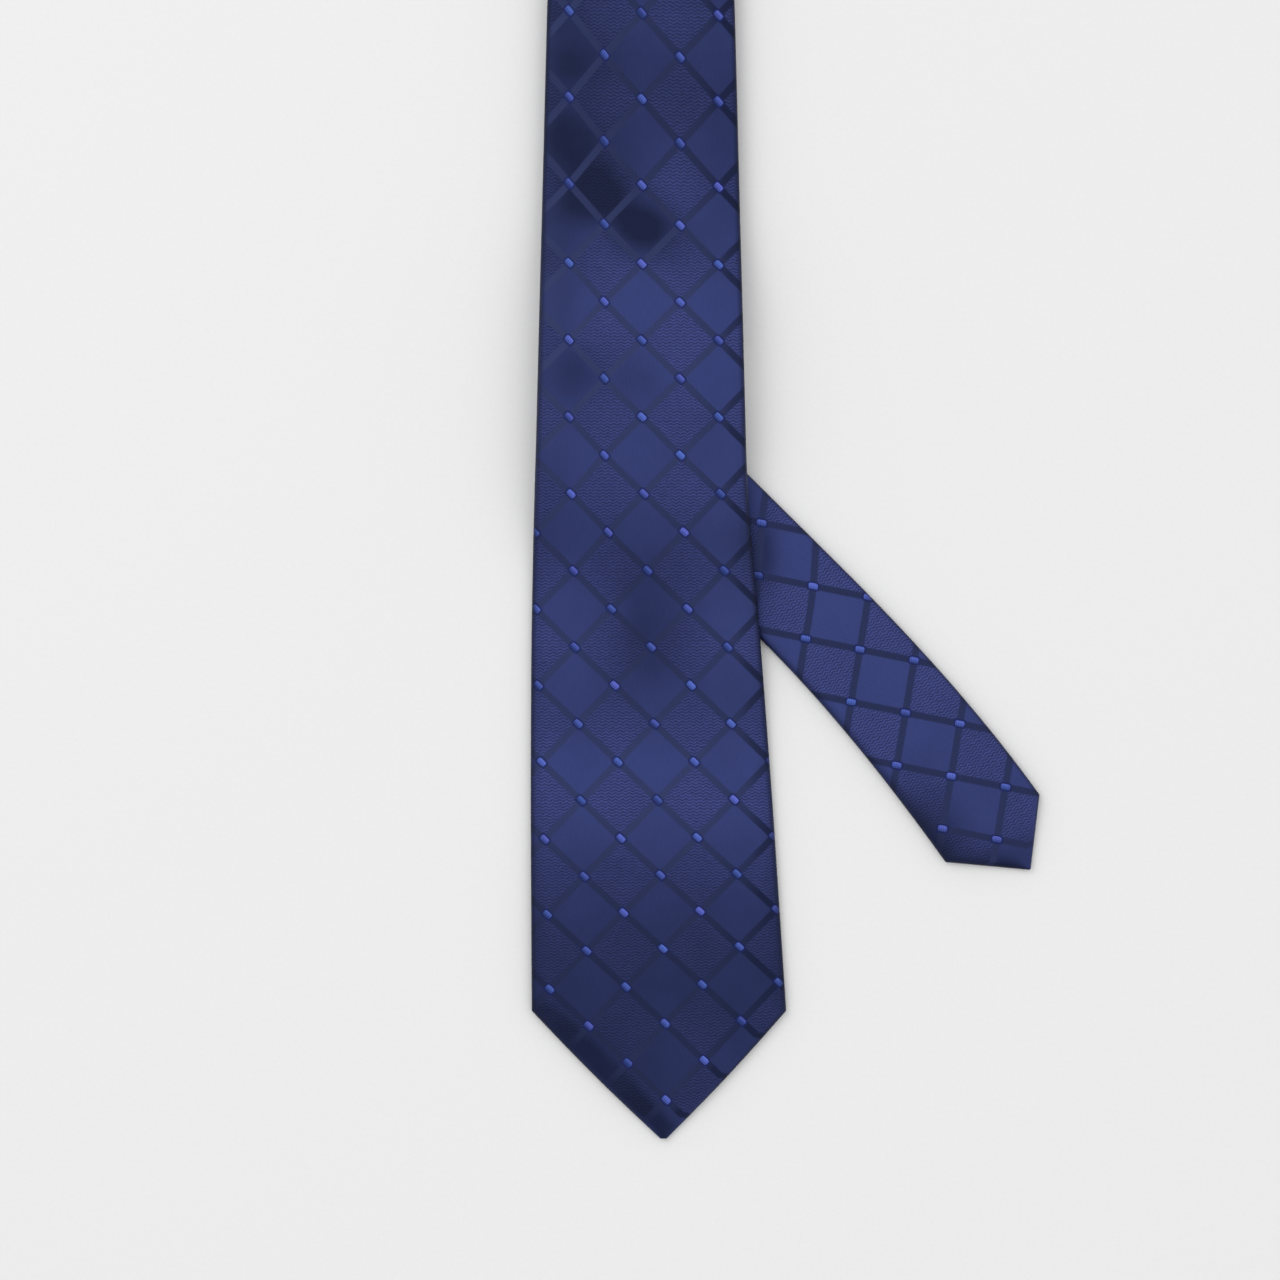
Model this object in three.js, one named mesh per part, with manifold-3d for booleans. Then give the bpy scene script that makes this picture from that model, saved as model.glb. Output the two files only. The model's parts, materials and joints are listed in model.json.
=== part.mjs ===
// A silk necktie folded in half, lying on a table with the wide front blade on top.
//
// Millimetres, +Z up. The tip of the wide blade points to -Y and the neck fold is at the +Y end.
// From the table up, the tie lies in up to three lays: the narrow tail end (face up), the tail coming
// down from the neck (face down), and the front half (face up). Each lay is a flat cloth tube with an
// open back seam, and the interlining and the tipping lie inside it.

import * as THREE from 'three';
import { mergeVertices } from 'three/addons/utils/BufferGeometryUtils.js';
import Module from 'manifold-3d';

const wasm = await Module();
wasm.setup();

// ---------------------------------------------------------------- driving dimensions

const LAY = 3.5; // thickness of one lay of the finished tie
const CLOTH = 0.5; // shell cloth
const PADDING = 1.2; // wool interlining
const LINING = 0.4; // tipping
const GAP = 0.3; // between pieces that touch
const LAY_GAP = 0.4; // between one lay and the next
const KEEPER_ROOM = 1.8; // between the tail and the front half, where the keeper loop is

const FOLD_Y = 757; // neck fold, from the tip of the wide blade
const NECK_X = -7.1; // centre line of the neck, to the left of the wide tip
const BEND_Y = 200; // the blade leans from here down to its tip
const NECK_HALF = 17; // half the width of the neck and of the tail
const TAIL_END_HALF = 18.2; // half the width of the tail at its shoulders

// half widths of the front half, at distances from the wide tip, to a little past the neck fold
const BLADE_WIDTHS = [
  [40.5, 40], [107, 38], [157, 36], [207, 33.2], [358, 29.4], [700, NECK_HALF], [FOLD_Y + 40, NECK_HALF]];

const FRONT_SEAM_Y = 585; // piecing seam between the front panel and the neck gusset
const BACK_SEAM_Y = 637; // piecing seam between the neck gusset and the tail panel

// the crease where the tail turns over: its centre, and the heading of the tail end below horizontal
const CREASE_Y = 218.5;
const TAIL_HEADING = THREE.MathUtils.degToRad(44.8);
const TAIL_STRAIGHT = 69.9; // straight stretch of the tail end, from the crease
const TAIL_CURVED = 94; // gently curved stretch, up to the shoulders
const TAIL_BEND_RADIUS = 633;
const TAIL_POINT = 17.8; // from the shoulders to the tip of the tail

const SLIT_HALF = 0.6; // half the open back seam
const THREAD_HALF = 0.3; // half a sewing thread

// ---------------------------------------------------------------- heights of the lays

const FIRST_LIFT = LAY + LAY_GAP; // underside of a lay that lies on one other
const SECOND_LIFT = FIRST_LIFT + LAY + KEEPER_ROOM; // underside of the front half over both tail lays
const FOLD_Z = LAY + LAY_GAP / 2; // middle of the neck fold and of the crease

function ramp(value, from, to) {
  return THREE.MathUtils.smoothstep(value, from, to);
}

// undersides: the front half rests on the table at its tip, climbs over the tail and comes down to one lay
const frontBase = (y) => SECOND_LIFT * ramp(y, 60, 150) - (SECOND_LIFT - FIRST_LIFT) * ramp(y, 275, 330);
const tailBase = (y) => FIRST_LIFT * (1 - ramp(y, 285, 320));
const tableBase = () => 0;

const FRONT_STATIONS = stations([-40, 60, 150, 275, 330, FOLD_Y + 40]);
const TAIL_STATIONS = stations([120, 285, 320, FOLD_Y + 40]);

// the stretches between the given places, each slope in eight steps
function stations(places) {
  const list = [];
  for (let i = 0; i + 1 < places.length; i++) {
    const steps = i % 2 === 1 ? 8 : 1;
    for (let k = 0; k < steps; k++) {
      list.push(THREE.MathUtils.lerp(places[i], places[i + 1], k / steps));
    }
  }
  list.push(places[places.length - 1]);
  return list;
}

// ---------------------------------------------------------------- solids

function solid(geometry) {
  geometry.deleteAttribute('normal');
  geometry.deleteAttribute('uv');
  const merged = mergeVertices(geometry, 1e-4);
  return new wasm.Manifold(new wasm.Mesh({
    numProp: 3,
    vertProperties: new Float32Array(merged.attributes.position.array),
    triVerts: new Uint32Array(merged.index.array),
  }));
}

function geometryOf(manifold) {
  const mesh = manifold.getMesh();
  const geometry = new THREE.BufferGeometry();
  geometry.setAttribute('position', new THREE.BufferAttribute(new Float32Array(mesh.vertProperties), 3));
  geometry.setIndex(new THREE.BufferAttribute(new Uint32Array(mesh.triVerts), 1));
  geometry.computeVertexNormals();
  return geometry;
}

function extruded(points, depth) {
  const shape = new THREE.Shape(points.map(([x, y]) => new THREE.Vector2(x, y)));
  return new THREE.ExtrudeGeometry(shape, { depth, bevelEnabled: false });
}

// an outline seen from above, between two heights
function plate(points, low = -50, high = 50) {
  return solid(extruded(points, high - low).translate(0, 0, low));
}

// a layer that follows the underside of its lay: from low to high above it, as wide as anything here
function layer(base, places, low, high) {
  const under = places.map((y) => [y, base(y) + low]);
  const over = places.map((y) => [y, base(y) + high]).reverse();
  const width = 600;
  const geometry = extruded([...under, ...over], width);
  const lengthwise = new THREE.Matrix4().makeBasis(
    new THREE.Vector3(0, 1, 0), new THREE.Vector3(0, 0, 1), new THREE.Vector3(1, 0, 0));
  return solid(geometry.applyMatrix4(lengthwise).translate(-width / 2, 0, 0));
}

const box = (x0, x1, y0, y1) => plate([[x0, y0], [x1, y0], [x1, y1], [x0, y1]]);

// everything on one side of a 45 degree seam across the lay; side is 1 for the neck's side
function beyondSeam(seamY, side) {
  const start = seamY - NECK_X + side * GAP;
  const reach = 1500;
  const line = [[-reach, start - reach], [reach, start + reach]];
  return plate([...line, [reach, start + side * 3 * reach], [-reach, start + side * 3 * reach]]);
}

// ---------------------------------------------------------------- outlines from above

const centreX = (y) => NECK_X * Math.min(y / BEND_Y, 1);

function bladeHalf(y) {
  const next = Math.max(1, BLADE_WIDTHS.findIndex(([place]) => place >= y));
  const [y0, w0] = BLADE_WIDTHS[next - 1];
  const [y1, w1] = BLADE_WIDTHS[next];
  return THREE.MathUtils.mapLinear(y, y0, y1, w0, w1);
}

// the front half, drawn in by inset; it runs on past the neck fold
function frontOutline(inset) {
  const places = [...BLADE_WIDTHS.map(([y]) => y), BEND_Y].sort((a, b) => a - b);
  const edge = (side) => places.map((y) => [centreX(y) + side * (bladeHalf(y) - inset), y]);
  return [[0, inset * Math.SQRT2], ...edge(1), ...edge(-1).reverse()];
}

const stripOutline = (half, y0, y1) => [
  [NECK_X - half, y0], [NECK_X + half, y0], [NECK_X + half, y1], [NECK_X - half, y1]];

// the crease runs halfway between the tail's two headings
const creaseAngle = -(Math.PI / 2 + TAIL_HEADING) / 2;
const creaseAlong = new THREE.Vector2(Math.cos(creaseAngle), Math.sin(creaseAngle));
const creaseSide = new THREE.Vector2(-creaseAlong.y, creaseAlong.x); // towards the lays
const creaseHalf = NECK_HALF / creaseAlong.x;

function besideCrease(offset) {
  const reach = 400;
  const at = (along, side) => [
    NECK_X + creaseAlong.x * along + creaseSide.x * side,
    CREASE_Y + creaseAlong.y * along + creaseSide.y * side];
  return plate([at(-reach, offset), at(reach, offset), at(reach, 3 * reach), at(-reach, 3 * reach)]);
}

// a point of the tail end, by its distance from the crease and its distance from the centre line
function tailPoint(distance, aside) {
  const bent = THREE.MathUtils.clamp(distance - TAIL_STRAIGHT, 0, TAIL_CURVED);
  const turn = bent / TAIL_BEND_RADIUS;
  const heading = TAIL_HEADING + turn;
  const straight = distance - bent;
  const chord = 2 * TAIL_BEND_RADIUS * Math.sin(turn / 2);
  const before = Math.min(straight, TAIL_STRAIGHT);
  const after = straight - before;
  const middle = TAIL_HEADING + turn / 2;
  const x = before * Math.cos(TAIL_HEADING) + chord * Math.cos(middle) + after * Math.cos(heading);
  const y = before * Math.sin(TAIL_HEADING) + chord * Math.sin(middle) + after * Math.sin(heading);
  return [NECK_X + x + aside * Math.sin(heading), CREASE_Y - y + aside * Math.cos(heading)];
}

const TAIL_SHOULDER = TAIL_STRAIGHT + TAIL_CURVED;
const TAIL_LENGTH = TAIL_SHOULDER + TAIL_POINT;

function tailSide(half, from, to, steps = 8) {
  const side = [];
  for (let i = 0; i <= steps; i++) {
    const distance = THREE.MathUtils.lerp(from, to, i / steps);
    const widening = (TAIL_END_HALF - NECK_HALF) * ramp(distance, TAIL_STRAIGHT, TAIL_SHOULDER);
    side.push([distance, half + widening]);
  }
  return side;
}

// the tail end, drawn in by inset, starting well behind the crease
function tailOutline(inset, from = -70) {
  const side = tailSide(NECK_HALF - inset, from, TAIL_SHOULDER);
  const upper = side.map(([distance, half]) => tailPoint(distance, half));
  const lower = side.map(([distance, half]) => tailPoint(distance, -half)).reverse();
  return [...upper, tailPoint(TAIL_LENGTH - inset * Math.SQRT2, 0), ...lower];
}

// ---------------------------------------------------------------- openings in the back

// the front half: the seam, a notch for the bar tack, and the inverted V over the tipping
const FRONT_TACK_Y = 90;
const V_WIDEST = [42, 26]; // where the V is widest, from the tip, and half its width there
const V_START = 15;
const frontV = [
  [centreX(FRONT_TACK_Y), FRONT_TACK_Y], [centreX(V_WIDEST[0]) - V_WIDEST[1], V_WIDEST[0]],
  [0, V_START], [centreX(V_WIDEST[0]) + V_WIDEST[1], V_WIDEST[0]]];

function leaningBox(half, y0, y1) {
  return plate([[centreX(y0) - half, y0], [centreX(y0) + half, y0],
    [centreX(y1) + half, y1], [centreX(y1) - half, y1]]);
}

const frontOpenings = leaningBox(SLIT_HALF, FRONT_TACK_Y - 4, BEND_Y)
  .add(box(NECK_X - SLIT_HALF, NECK_X + SLIT_HALF, BEND_Y - 1, FOLD_Y + 40))
  .add(leaningBox(2.6, FRONT_TACK_Y - 1, FRONT_TACK_Y + 1.6))
  .add(plate(frontV));

// the tail end: the same, smaller
const TAIL_TACK = TAIL_LENGTH - 46;

// a stretch of the tail end, as wide as half on each side of its centre line
function tailBox(half, from, to) {
  const steps = Math.ceil((to - from) / 12);
  const places = Array.from({ length: steps + 1 }, (_, i) => THREE.MathUtils.lerp(from, to, i / steps));
  const upper = places.map((distance) => tailPoint(distance, half));
  const lower = places.map((distance) => tailPoint(distance, -half)).reverse();
  return plate([...upper, ...lower]);
}

const tailV = [[TAIL_TACK, 0], [TAIL_SHOULDER, 11], [TAIL_LENGTH - 8, 0], [TAIL_SHOULDER, -11]];
const tailOpenings = tailBox(2.1, TAIL_TACK - 1.6, TAIL_TACK + 1)
  .add(tailBox(SLIT_HALF, -76, TAIL_TACK + 4))
  .add(plate(tailV.map(([distance, aside]) => tailPoint(distance, aside))));

// ---------------------------------------------------------------- cloth tubes and what is in them

// a flat tube of cloth: the whole lay, less its inside, less the openings through the back
function tube(base, places, outer, inner, openings, faceUp) {
  const whole = layer(base, places, 0, LAY).intersect(outer);
  const inside = layer(base, places, CLOTH, LAY - CLOTH).intersect(inner);
  const [low, high] = faceUp ? [-1, CLOTH + 0.1] : [LAY - CLOTH - 0.1, LAY + 1];
  return whole.subtract(inside).subtract(layer(base, places, low, high).intersect(openings));
}

const FOLD_END = box(-300, 300, -100, FOLD_Y - GAP);

const frontShell = tube(frontBase, FRONT_STATIONS, plate(frontOutline(0)).intersect(FOLD_END),
  plate(frontOutline(CLOTH)), frontOpenings, true);

const tailStrip = plate(stripOutline(NECK_HALF, 130, FOLD_Y - GAP)).intersect(besideCrease(GAP));
const tailShell = tube(tailBase, TAIL_STATIONS, tailStrip,
  plate(stripOutline(NECK_HALF - CLOTH, 120, FOLD_Y + 30)),
  plate(stripOutline(SLIT_HALF, 120, FOLD_Y + 30)), false);

const FLAT = [-40, FOLD_Y];
const tailEnd = plate(tailOutline(0)).intersect(besideCrease(GAP));
const tailEndShell = tube(tableBase, FLAT, tailEnd, plate(tailOutline(CLOTH, -76)), tailOpenings, true);

// heights inside a lay that lies face up; a lay that lies face down has them turned over
const LINING_LOW = CLOTH + GAP;
const PADDING_LOW = LINING_LOW + LINING + GAP;
const INSIDE = CLOTH + GAP + 0.2; // the inner pieces keep this far in from the edges

const frontPadding = layer(frontBase, FRONT_STATIONS, PADDING_LOW, PADDING_LOW + PADDING)
  .intersect(plate(frontOutline(INSIDE))).intersect(FOLD_END);
const tailPadding = layer(tailBase, TAIL_STATIONS, LAY - PADDING_LOW - PADDING, LAY - PADDING_LOW)
  .intersect(plate(stripOutline(NECK_HALF - INSIDE, 130, FOLD_Y - GAP))).intersect(besideCrease(GAP));
const tailEndPadding = plate(tailOutline(INSIDE), PADDING_LOW, PADDING_LOW + PADDING)
  .intersect(besideCrease(GAP));

const frontTipping = layer(frontBase, FRONT_STATIONS, LINING_LOW, LINING_LOW + LINING)
  .intersect(plate(frontOutline(INSIDE))).intersect(box(-300, 300, -10, 118));
const tailTipping = plate(tailOutline(INSIDE), LINING_LOW, LINING_LOW + LINING)
  .intersect(tailBox(40, TAIL_LENGTH - 66, TAIL_LENGTH + 10));

// the cloth and the padding where they turn back on themselves: half rings about the fold's middle
const SHELL_BEND = [LAY + LAY_GAP / 2 - CLOTH, LAY + LAY_GAP / 2];
const PADDING_BEND = [1, 1 + PADDING];

function halfRing([inner, outer], length) {
  const ring = new THREE.Shape();
  ring.absarc(0, 0, outer, -Math.PI / 2, Math.PI / 2, false);
  ring.absarc(0, 0, inner, Math.PI / 2, -Math.PI / 2, true);
  const geometry = new THREE.ExtrudeGeometry(ring, { depth: length, bevelEnabled: false, curveSegments: 12 });
  return geometry.translate(0, 0, -length / 2);
}

// the ring's outer side looks along out, and its axis lies across that
function bend(radii, length, x, y, out) {
  const outward = new THREE.Vector3(out.x, out.y, 0).normalize();
  const up = new THREE.Vector3(0, 0, 1);
  const axis = new THREE.Vector3().crossVectors(outward, up);
  const turn = new THREE.Matrix4().makeBasis(outward, up, axis);
  return halfRing(radii, length).applyMatrix4(turn.setPosition(x, y, FOLD_Z));
}

const neckOut = new THREE.Vector2(0, 1);
const creaseOut = creaseSide.clone().negate();
const CREASE_TRIM = 8; // the crease's ends are cut off square, inside the edges of the cloth
const creaseBend = (radii, trim) => bend(radii, 2 * creaseHalf - trim, NECK_X, CREASE_Y, creaseOut);

// ---------------------------------------------------------------- sewing and small pieces

// threads lie inside the open back seam
const THREAD = [0.1, CLOTH];
const frontThread = layer(frontBase, FRONT_STATIONS, ...THREAD)
  .intersect(leaningBox(THREAD_HALF, FRONT_TACK_Y + 2, BEND_Y)
    .add(box(NECK_X - THREAD_HALF, NECK_X + THREAD_HALF, BEND_Y - 1, FOLD_Y - 2)));
const tailThread = layer(tailBase, TAIL_STATIONS, LAY - THREAD[1], LAY - THREAD[0])
  .intersect(plate(stripOutline(THREAD_HALF, 130, FOLD_Y - 2))).intersect(besideCrease(1));
const tailEndThread = layer(tableBase, FLAT, ...THREAD)
  .intersect(tailBox(THREAD_HALF, -60, TAIL_TACK - 2)).intersect(besideCrease(1));

const frontTack = layer(frontBase, FRONT_STATIONS, ...THREAD)
  .intersect(leaningBox(2.2, FRONT_TACK_Y - 0.2, FRONT_TACK_Y + 1.2));
const tailTack = layer(tableBase, FLAT, ...THREAD)
  .intersect(tailBox(1.7, TAIL_TACK - 1.2, TAIL_TACK + 0.2));

// a slack loop of the seam thread, left so that the seam can stretch
function loopOutline(place, width, from, to) {
  const outer = [[from, width], [to - width, width], [to, 0], [to - width, -width], [from, -width]];
  const w = width - 2 * THREAD_HALF;
  const inner = [[from, -w], [to - width, -w], [to - 2 * THREAD_HALF, 0], [to - width, w], [from, w]];
  return [...outer, ...inner].map(([along, aside]) => place(along, aside));
}

const frontPlace = (along, aside) => [centreX(FRONT_TACK_Y - along) + aside, FRONT_TACK_Y - along];
const frontLoop = layer(frontBase, FRONT_STATIONS, ...THREAD)
  .intersect(plate(loopOutline(frontPlace, 1.3, 5, 20)));
const tailLoopPlace = (along, aside) => tailPoint(TAIL_TACK + along, aside);
const tailLoop = plate(loopOutline(tailLoopPlace, 1.2, 5, 15), ...THREAD);

// the line of machine stitching where two panels join, just under the face
function seamLine(base, places, seamY, half, low) {
  const along = (x) => [x, seamY + x - NECK_X];
  const [a, b] = [along(NECK_X - half), along(NECK_X + half)];
  const step = 0.1;
  const strip = plate([[a[0], a[1] - step], [b[0], b[1] - step], [b[0], b[1] + step], [a[0], a[1] + step]]);
  return layer(base, places, low, low + CLOTH / 2).intersect(strip);
}

const frontSeam = seamLine(
  frontBase, FRONT_STATIONS, FRONT_SEAM_Y, bladeHalf(FRONT_SEAM_Y) - 1, LAY - CLOTH / 2);
const backSeam = seamLine(tailBase, TAIL_STATIONS, BACK_SEAM_Y, NECK_HALF - 1, 0);

// keeper loop: a band across the back, held at both ends and standing off in the middle
const KEEPER_Y = [250, 262];
const KEEPER_HALF = 18;
const KEEPER_END = 3; // sewn down at each end
const keeperShape = [
  [-KEEPER_HALF, -0.9], [-KEEPER_HALF + KEEPER_END, -0.9], [-KEEPER_HALF + 2 * KEEPER_END, -1.4],
  [KEEPER_HALF - 2 * KEEPER_END, -1.4], [KEEPER_HALF - KEEPER_END, -0.9], [KEEPER_HALF, -0.9],
  [KEEPER_HALF, -0.3], [KEEPER_HALF - KEEPER_END, -0.3], [KEEPER_HALF - 2 * KEEPER_END, -0.8],
  [-KEEPER_HALF + 2 * KEEPER_END, -0.8], [-KEEPER_HALF + KEEPER_END, -0.3], [-KEEPER_HALF, -0.3],
];

function backBand(points, y0, y1) {
  const geometry = extruded(points, y1 - y0);
  const across = new THREE.Matrix4().makeBasis(
    new THREE.Vector3(1, 0, 0), new THREE.Vector3(0, 0, 1), new THREE.Vector3(0, -1, 0));
  return geometry.applyMatrix4(across).translate(NECK_X, y1, SECOND_LIFT);
}

// a flat patch on the back of the front half; depths are measured down from the back
function backPatch(x0, x1, y0, y1, near, far) {
  const geometry = new THREE.BoxGeometry(x1 - x0, y1 - y0, far - near);
  return geometry.translate((x0 + x1) / 2, (y0 + y1) / 2, SECOND_LIFT - (near + far) / 2);
}

const LABEL_Y = [206, 226];
const LABEL_HALF = 14;
const TAG_X = [11.5, 22.5];
const TAG_Y = [228, 248];

// ---------------------------------------------------------------- the tie

const FINISHES = {
  silk: { color: 0x353b6e, roughness: 0.45 },
  wool: { color: 0xd9d4c8, roughness: 0.95 },
  lining: { color: 0x1f2547, roughness: 0.4 },
  thread: { color: 0x20264a, roughness: 0.6 },
  label: { color: 0x23294f, roughness: 0.5 },
  care: { color: 0xe8e6e0, roughness: 0.5 },
};

const tie = new THREE.Group();

function add(name, finish, shape) {
  const geometry = shape.isBufferGeometry ? shape : geometryOf(shape);
  const material = new THREE.MeshStandardMaterial({ ...FINISHES[finish], metalness: 0 });
  const mesh = new THREE.Mesh(geometry, material);
  mesh.name = name;
  tie.add(mesh);
}

add('front_blade_shell', 'silk', frontShell.intersect(beyondSeam(FRONT_SEAM_Y, -1)));
add('gusset_front', 'silk', frontShell.intersect(beyondSeam(FRONT_SEAM_Y, 1)));
add('gusset_fold', 'silk', bend(SHELL_BEND, 2 * NECK_HALF, NECK_X, FOLD_Y, neckOut));
add('gusset_back', 'silk', tailShell.intersect(beyondSeam(BACK_SEAM_Y, 1)));
add('tail_shell_upper', 'silk', tailShell.intersect(beyondSeam(BACK_SEAM_Y, -1)));
add('tail_crease_fold', 'silk', creaseBend(SHELL_BEND, CREASE_TRIM));
add('tail_shell_end', 'silk', tailEndShell);

add('front_interlining', 'wool', frontPadding);
add('neck_interlining_fold', 'wool', bend(PADDING_BEND, 2 * (NECK_HALF - INSIDE), NECK_X, FOLD_Y, neckOut));
add('tail_interlining_upper', 'wool', tailPadding);
add('crease_interlining_fold', 'wool', creaseBend(PADDING_BEND, 1.5 * CREASE_TRIM));
add('tail_interlining_end', 'wool', tailEndPadding);

add('front_tipping', 'lining', frontTipping);
add('tail_tipping', 'lining', tailTipping);

add('front_slip_stitch', 'thread', frontThread);
add('tail_slip_stitch_upper', 'thread', tailThread);
add('tail_slip_stitch_end', 'thread', tailEndThread);
add('front_spare_thread', 'thread', frontLoop);
add('tail_spare_thread', 'thread', tailLoop);
add('front_bar_tack', 'thread', frontTack);
add('tail_bar_tack', 'thread', tailTack);
add('front_piecing_seam', 'thread', frontSeam);
add('back_piecing_seam', 'thread', backSeam);

add('keeper_loop', 'silk', backBand(keeperShape, ...KEEPER_Y));
for (const [side, x] of [['left', NECK_X - KEEPER_HALF + 1], ['right', NECK_X + KEEPER_HALF - 2]]) {
  add(`keeper_tack_${side}`, 'thread', backPatch(x, x + 1, KEEPER_Y[0] + 1, KEEPER_Y[1] - 1, 1.2, 1.5));
}
add('maker_label', 'label', backPatch(NECK_X - LABEL_HALF, NECK_X + LABEL_HALF, ...LABEL_Y, 0.3, 0.7));
for (const [side, x] of [['left', NECK_X - LABEL_HALF + 1], ['right', NECK_X + LABEL_HALF - 2]]) {
  add(`label_stitch_${side}`, 'thread', backPatch(x, x + 1, LABEL_Y[0] + 1, LABEL_Y[1] - 1, 1, 1.3));
}
add('care_tag', 'care', backPatch(...TAG_X, ...TAG_Y, 0.5, 1));
const tagTop = TAG_Y[1] + 0.5; // the stitch that holds the tag lies just beyond its fold
add('care_tag_stitch', 'thread', backPatch(TAG_X[0] + 1, TAG_X[1] - 1, tagTop, tagTop + 0.8, 0.3, 0.6));

// the origin is under the middle of the whole folded tie, on the table
const bounds = new THREE.Box3().setFromObject(tie);
const middle = bounds.getCenter(new THREE.Vector3());
tie.position.set(-middle.x, -middle.y, -bounds.min.z);

export default tie;
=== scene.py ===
"""The looks of a silk necktie that lies folded in half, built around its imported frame.

Shapes are worked out in millimetres from the tip of the wide blade, with the neck towards +Y and the
table at Z = 0, and go to the row frame, in metres, as each mesh is made.
"""

import json
from math import cos, pi, radians, sin, sqrt

import bpy
import numpy as np
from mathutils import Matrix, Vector


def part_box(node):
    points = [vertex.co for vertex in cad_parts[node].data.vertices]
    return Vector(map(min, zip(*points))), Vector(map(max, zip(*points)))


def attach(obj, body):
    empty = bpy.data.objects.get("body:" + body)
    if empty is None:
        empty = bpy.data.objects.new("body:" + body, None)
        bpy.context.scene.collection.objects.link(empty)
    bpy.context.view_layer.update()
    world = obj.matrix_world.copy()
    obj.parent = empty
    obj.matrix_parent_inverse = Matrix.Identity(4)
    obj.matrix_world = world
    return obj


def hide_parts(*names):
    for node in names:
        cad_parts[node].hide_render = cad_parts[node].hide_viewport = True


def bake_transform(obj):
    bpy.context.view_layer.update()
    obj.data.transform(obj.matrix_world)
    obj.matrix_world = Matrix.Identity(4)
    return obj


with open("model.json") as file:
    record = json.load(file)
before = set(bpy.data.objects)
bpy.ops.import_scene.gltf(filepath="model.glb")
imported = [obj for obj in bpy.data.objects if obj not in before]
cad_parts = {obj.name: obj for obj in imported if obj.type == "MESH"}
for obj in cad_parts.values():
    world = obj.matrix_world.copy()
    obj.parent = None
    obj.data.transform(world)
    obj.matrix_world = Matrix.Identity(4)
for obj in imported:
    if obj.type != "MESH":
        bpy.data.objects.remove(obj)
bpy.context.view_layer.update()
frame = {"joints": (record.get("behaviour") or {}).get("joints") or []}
JOINTS = {joint["name"]: joint for joint in frame["joints"]}
MM = 0.001

# ---------------- sizes, in millimetres

NECK = Vector(JOINTS["neck_fold"]["pos_m"]) / MM
CREASE = Vector(JOINTS["tail_crease"]["pos_m"]) / MM
CREASE_AXIS = Vector(JOINTS["tail_crease"]["axis"])
NECK_X = -7.1  # the neck's centre line, to the left of the wide tip
FOLD_Y = 757.0  # the neck fold, from the wide tip
TIP = Vector((NECK.x - NECK_X, NECK.y - FOLD_Y, 0))  # the wide tip, in the row frame
FOLD_Z = NECK.z
CREASE_Y = CREASE.y - TIP.y

LAY = 3.5  # one lay of the finished tie
LAY_GAP = 2 * (FOLD_Z - LAY)
CLOTH = 0.4  # the shell cloth
EDGE = 1.9  # how far in from an edge the cloth starts to roll over it
UNDER = 4.0  # how far one back flap goes on under the other
HEM_WIDE = 4.0  # of a back flap's turned edge
SHOULDER = 40.5  # from the wide tip to the shoulders of its point
CROWN = 0.11  # how much lower a lay's face is beside its edges than in its middle
BLUNT = 0.7  # half the width that is left at the very tip
POINT_BULGE = 0.8  # how far the slanting edges of the point bulge
NECK_HALF = 17.0
WIDTH_PLACES = [0, 40.5, 107, 157, 207, 358, 700, 800]
HALF_WIDTHS = [41.2, 40, 38, 36, 33.2, 29.4, NECK_HALF, NECK_HALF]
BEND_Y = 200  # the blade leans from here down to its tip

TAIL_HEADING = radians(44.8)
TAIL_STRAIGHT = 69.9
TAIL_CURVED = 94.0
TAIL_RADIUS = 565.0
TAIL_POINT = 17.6
TAIL_LENGTH = TAIL_STRAIGHT + TAIL_CURVED + TAIL_POINT
TAIL_END_HALF = 18.2
TAIL_TIP_ASIDE = 2.1  # the tail's tip lies off its centre line

FRONT_SEAM = 585.0  # piecing seams, where they cross the centre line
BACK_SEAM = 637.0
FRONT_TACK = 90.0  # bar tacks, from the tips
TAIL_TACK = 46.0
KEEPER_Y = (250.0, 262.0)
KEEPER_HALF = 18.0
LABEL_Y = (206.0, 226.0)
LABEL_HALF = 14.0
LABEL_ROOM = 9.3  # from the table to the blade's back over the label and the care tag

PERIOD = 24.0  # of the woven diamonds, from dot to dot
FIRST_DOT = 12.6  # from the wide tip
LONG_PERIOD = 27.0  # where the bias cloth is drawn out towards the neck


def smooth(value, start, end):
    t = np.clip((value - start) / (end - start), 0, 1)
    return t * t * (3 - 2 * t)


def hump(value, middle, width):
    return np.exp(-(((value - middle) / width) ** 2))


def averaged(function, value, reach=14.0):
    """The function, rounded off at its corners."""
    return sum(function(value + step * reach) for step in np.linspace(-1, 1, 7)) / 7


# ---------------- plan of the tie


def centre_x(y):
    return averaged(lambda v: NECK_X * np.clip(v / BEND_Y, 0, 1), y)


def blade_half(y):
    side = averaged(lambda v: np.interp(v, WIDTH_PLACES, HALF_WIDTHS), y)
    point = BLUNT + y * (HALF_WIDTHS[1] - BLUNT) / SHOULDER
    point = point + POINT_BULGE * np.sin(pi * np.clip(y / SHOULDER, 0, 1))
    return np.where(y < SHOULDER, point, side)


def blade_place(y, aside):
    return np.where(y < SHOULDER, NECK_X * y / BEND_Y, centre_x(y)) + aside, y


def strip_half(y):
    return np.full(np.shape(y), NECK_HALF)


def strip_place(y, aside):
    return NECK_X + aside, y


def tail_half(rest):
    """Half the tail's width, by the distance that is left to its tip."""
    shoulder = TAIL_CURVED + TAIL_POINT
    side = TAIL_END_HALF - (TAIL_END_HALF - NECK_HALF) * smooth(rest, TAIL_POINT, shoulder)
    return np.where(rest < TAIL_POINT, rest * TAIL_END_HALF / TAIL_POINT, side)


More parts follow.
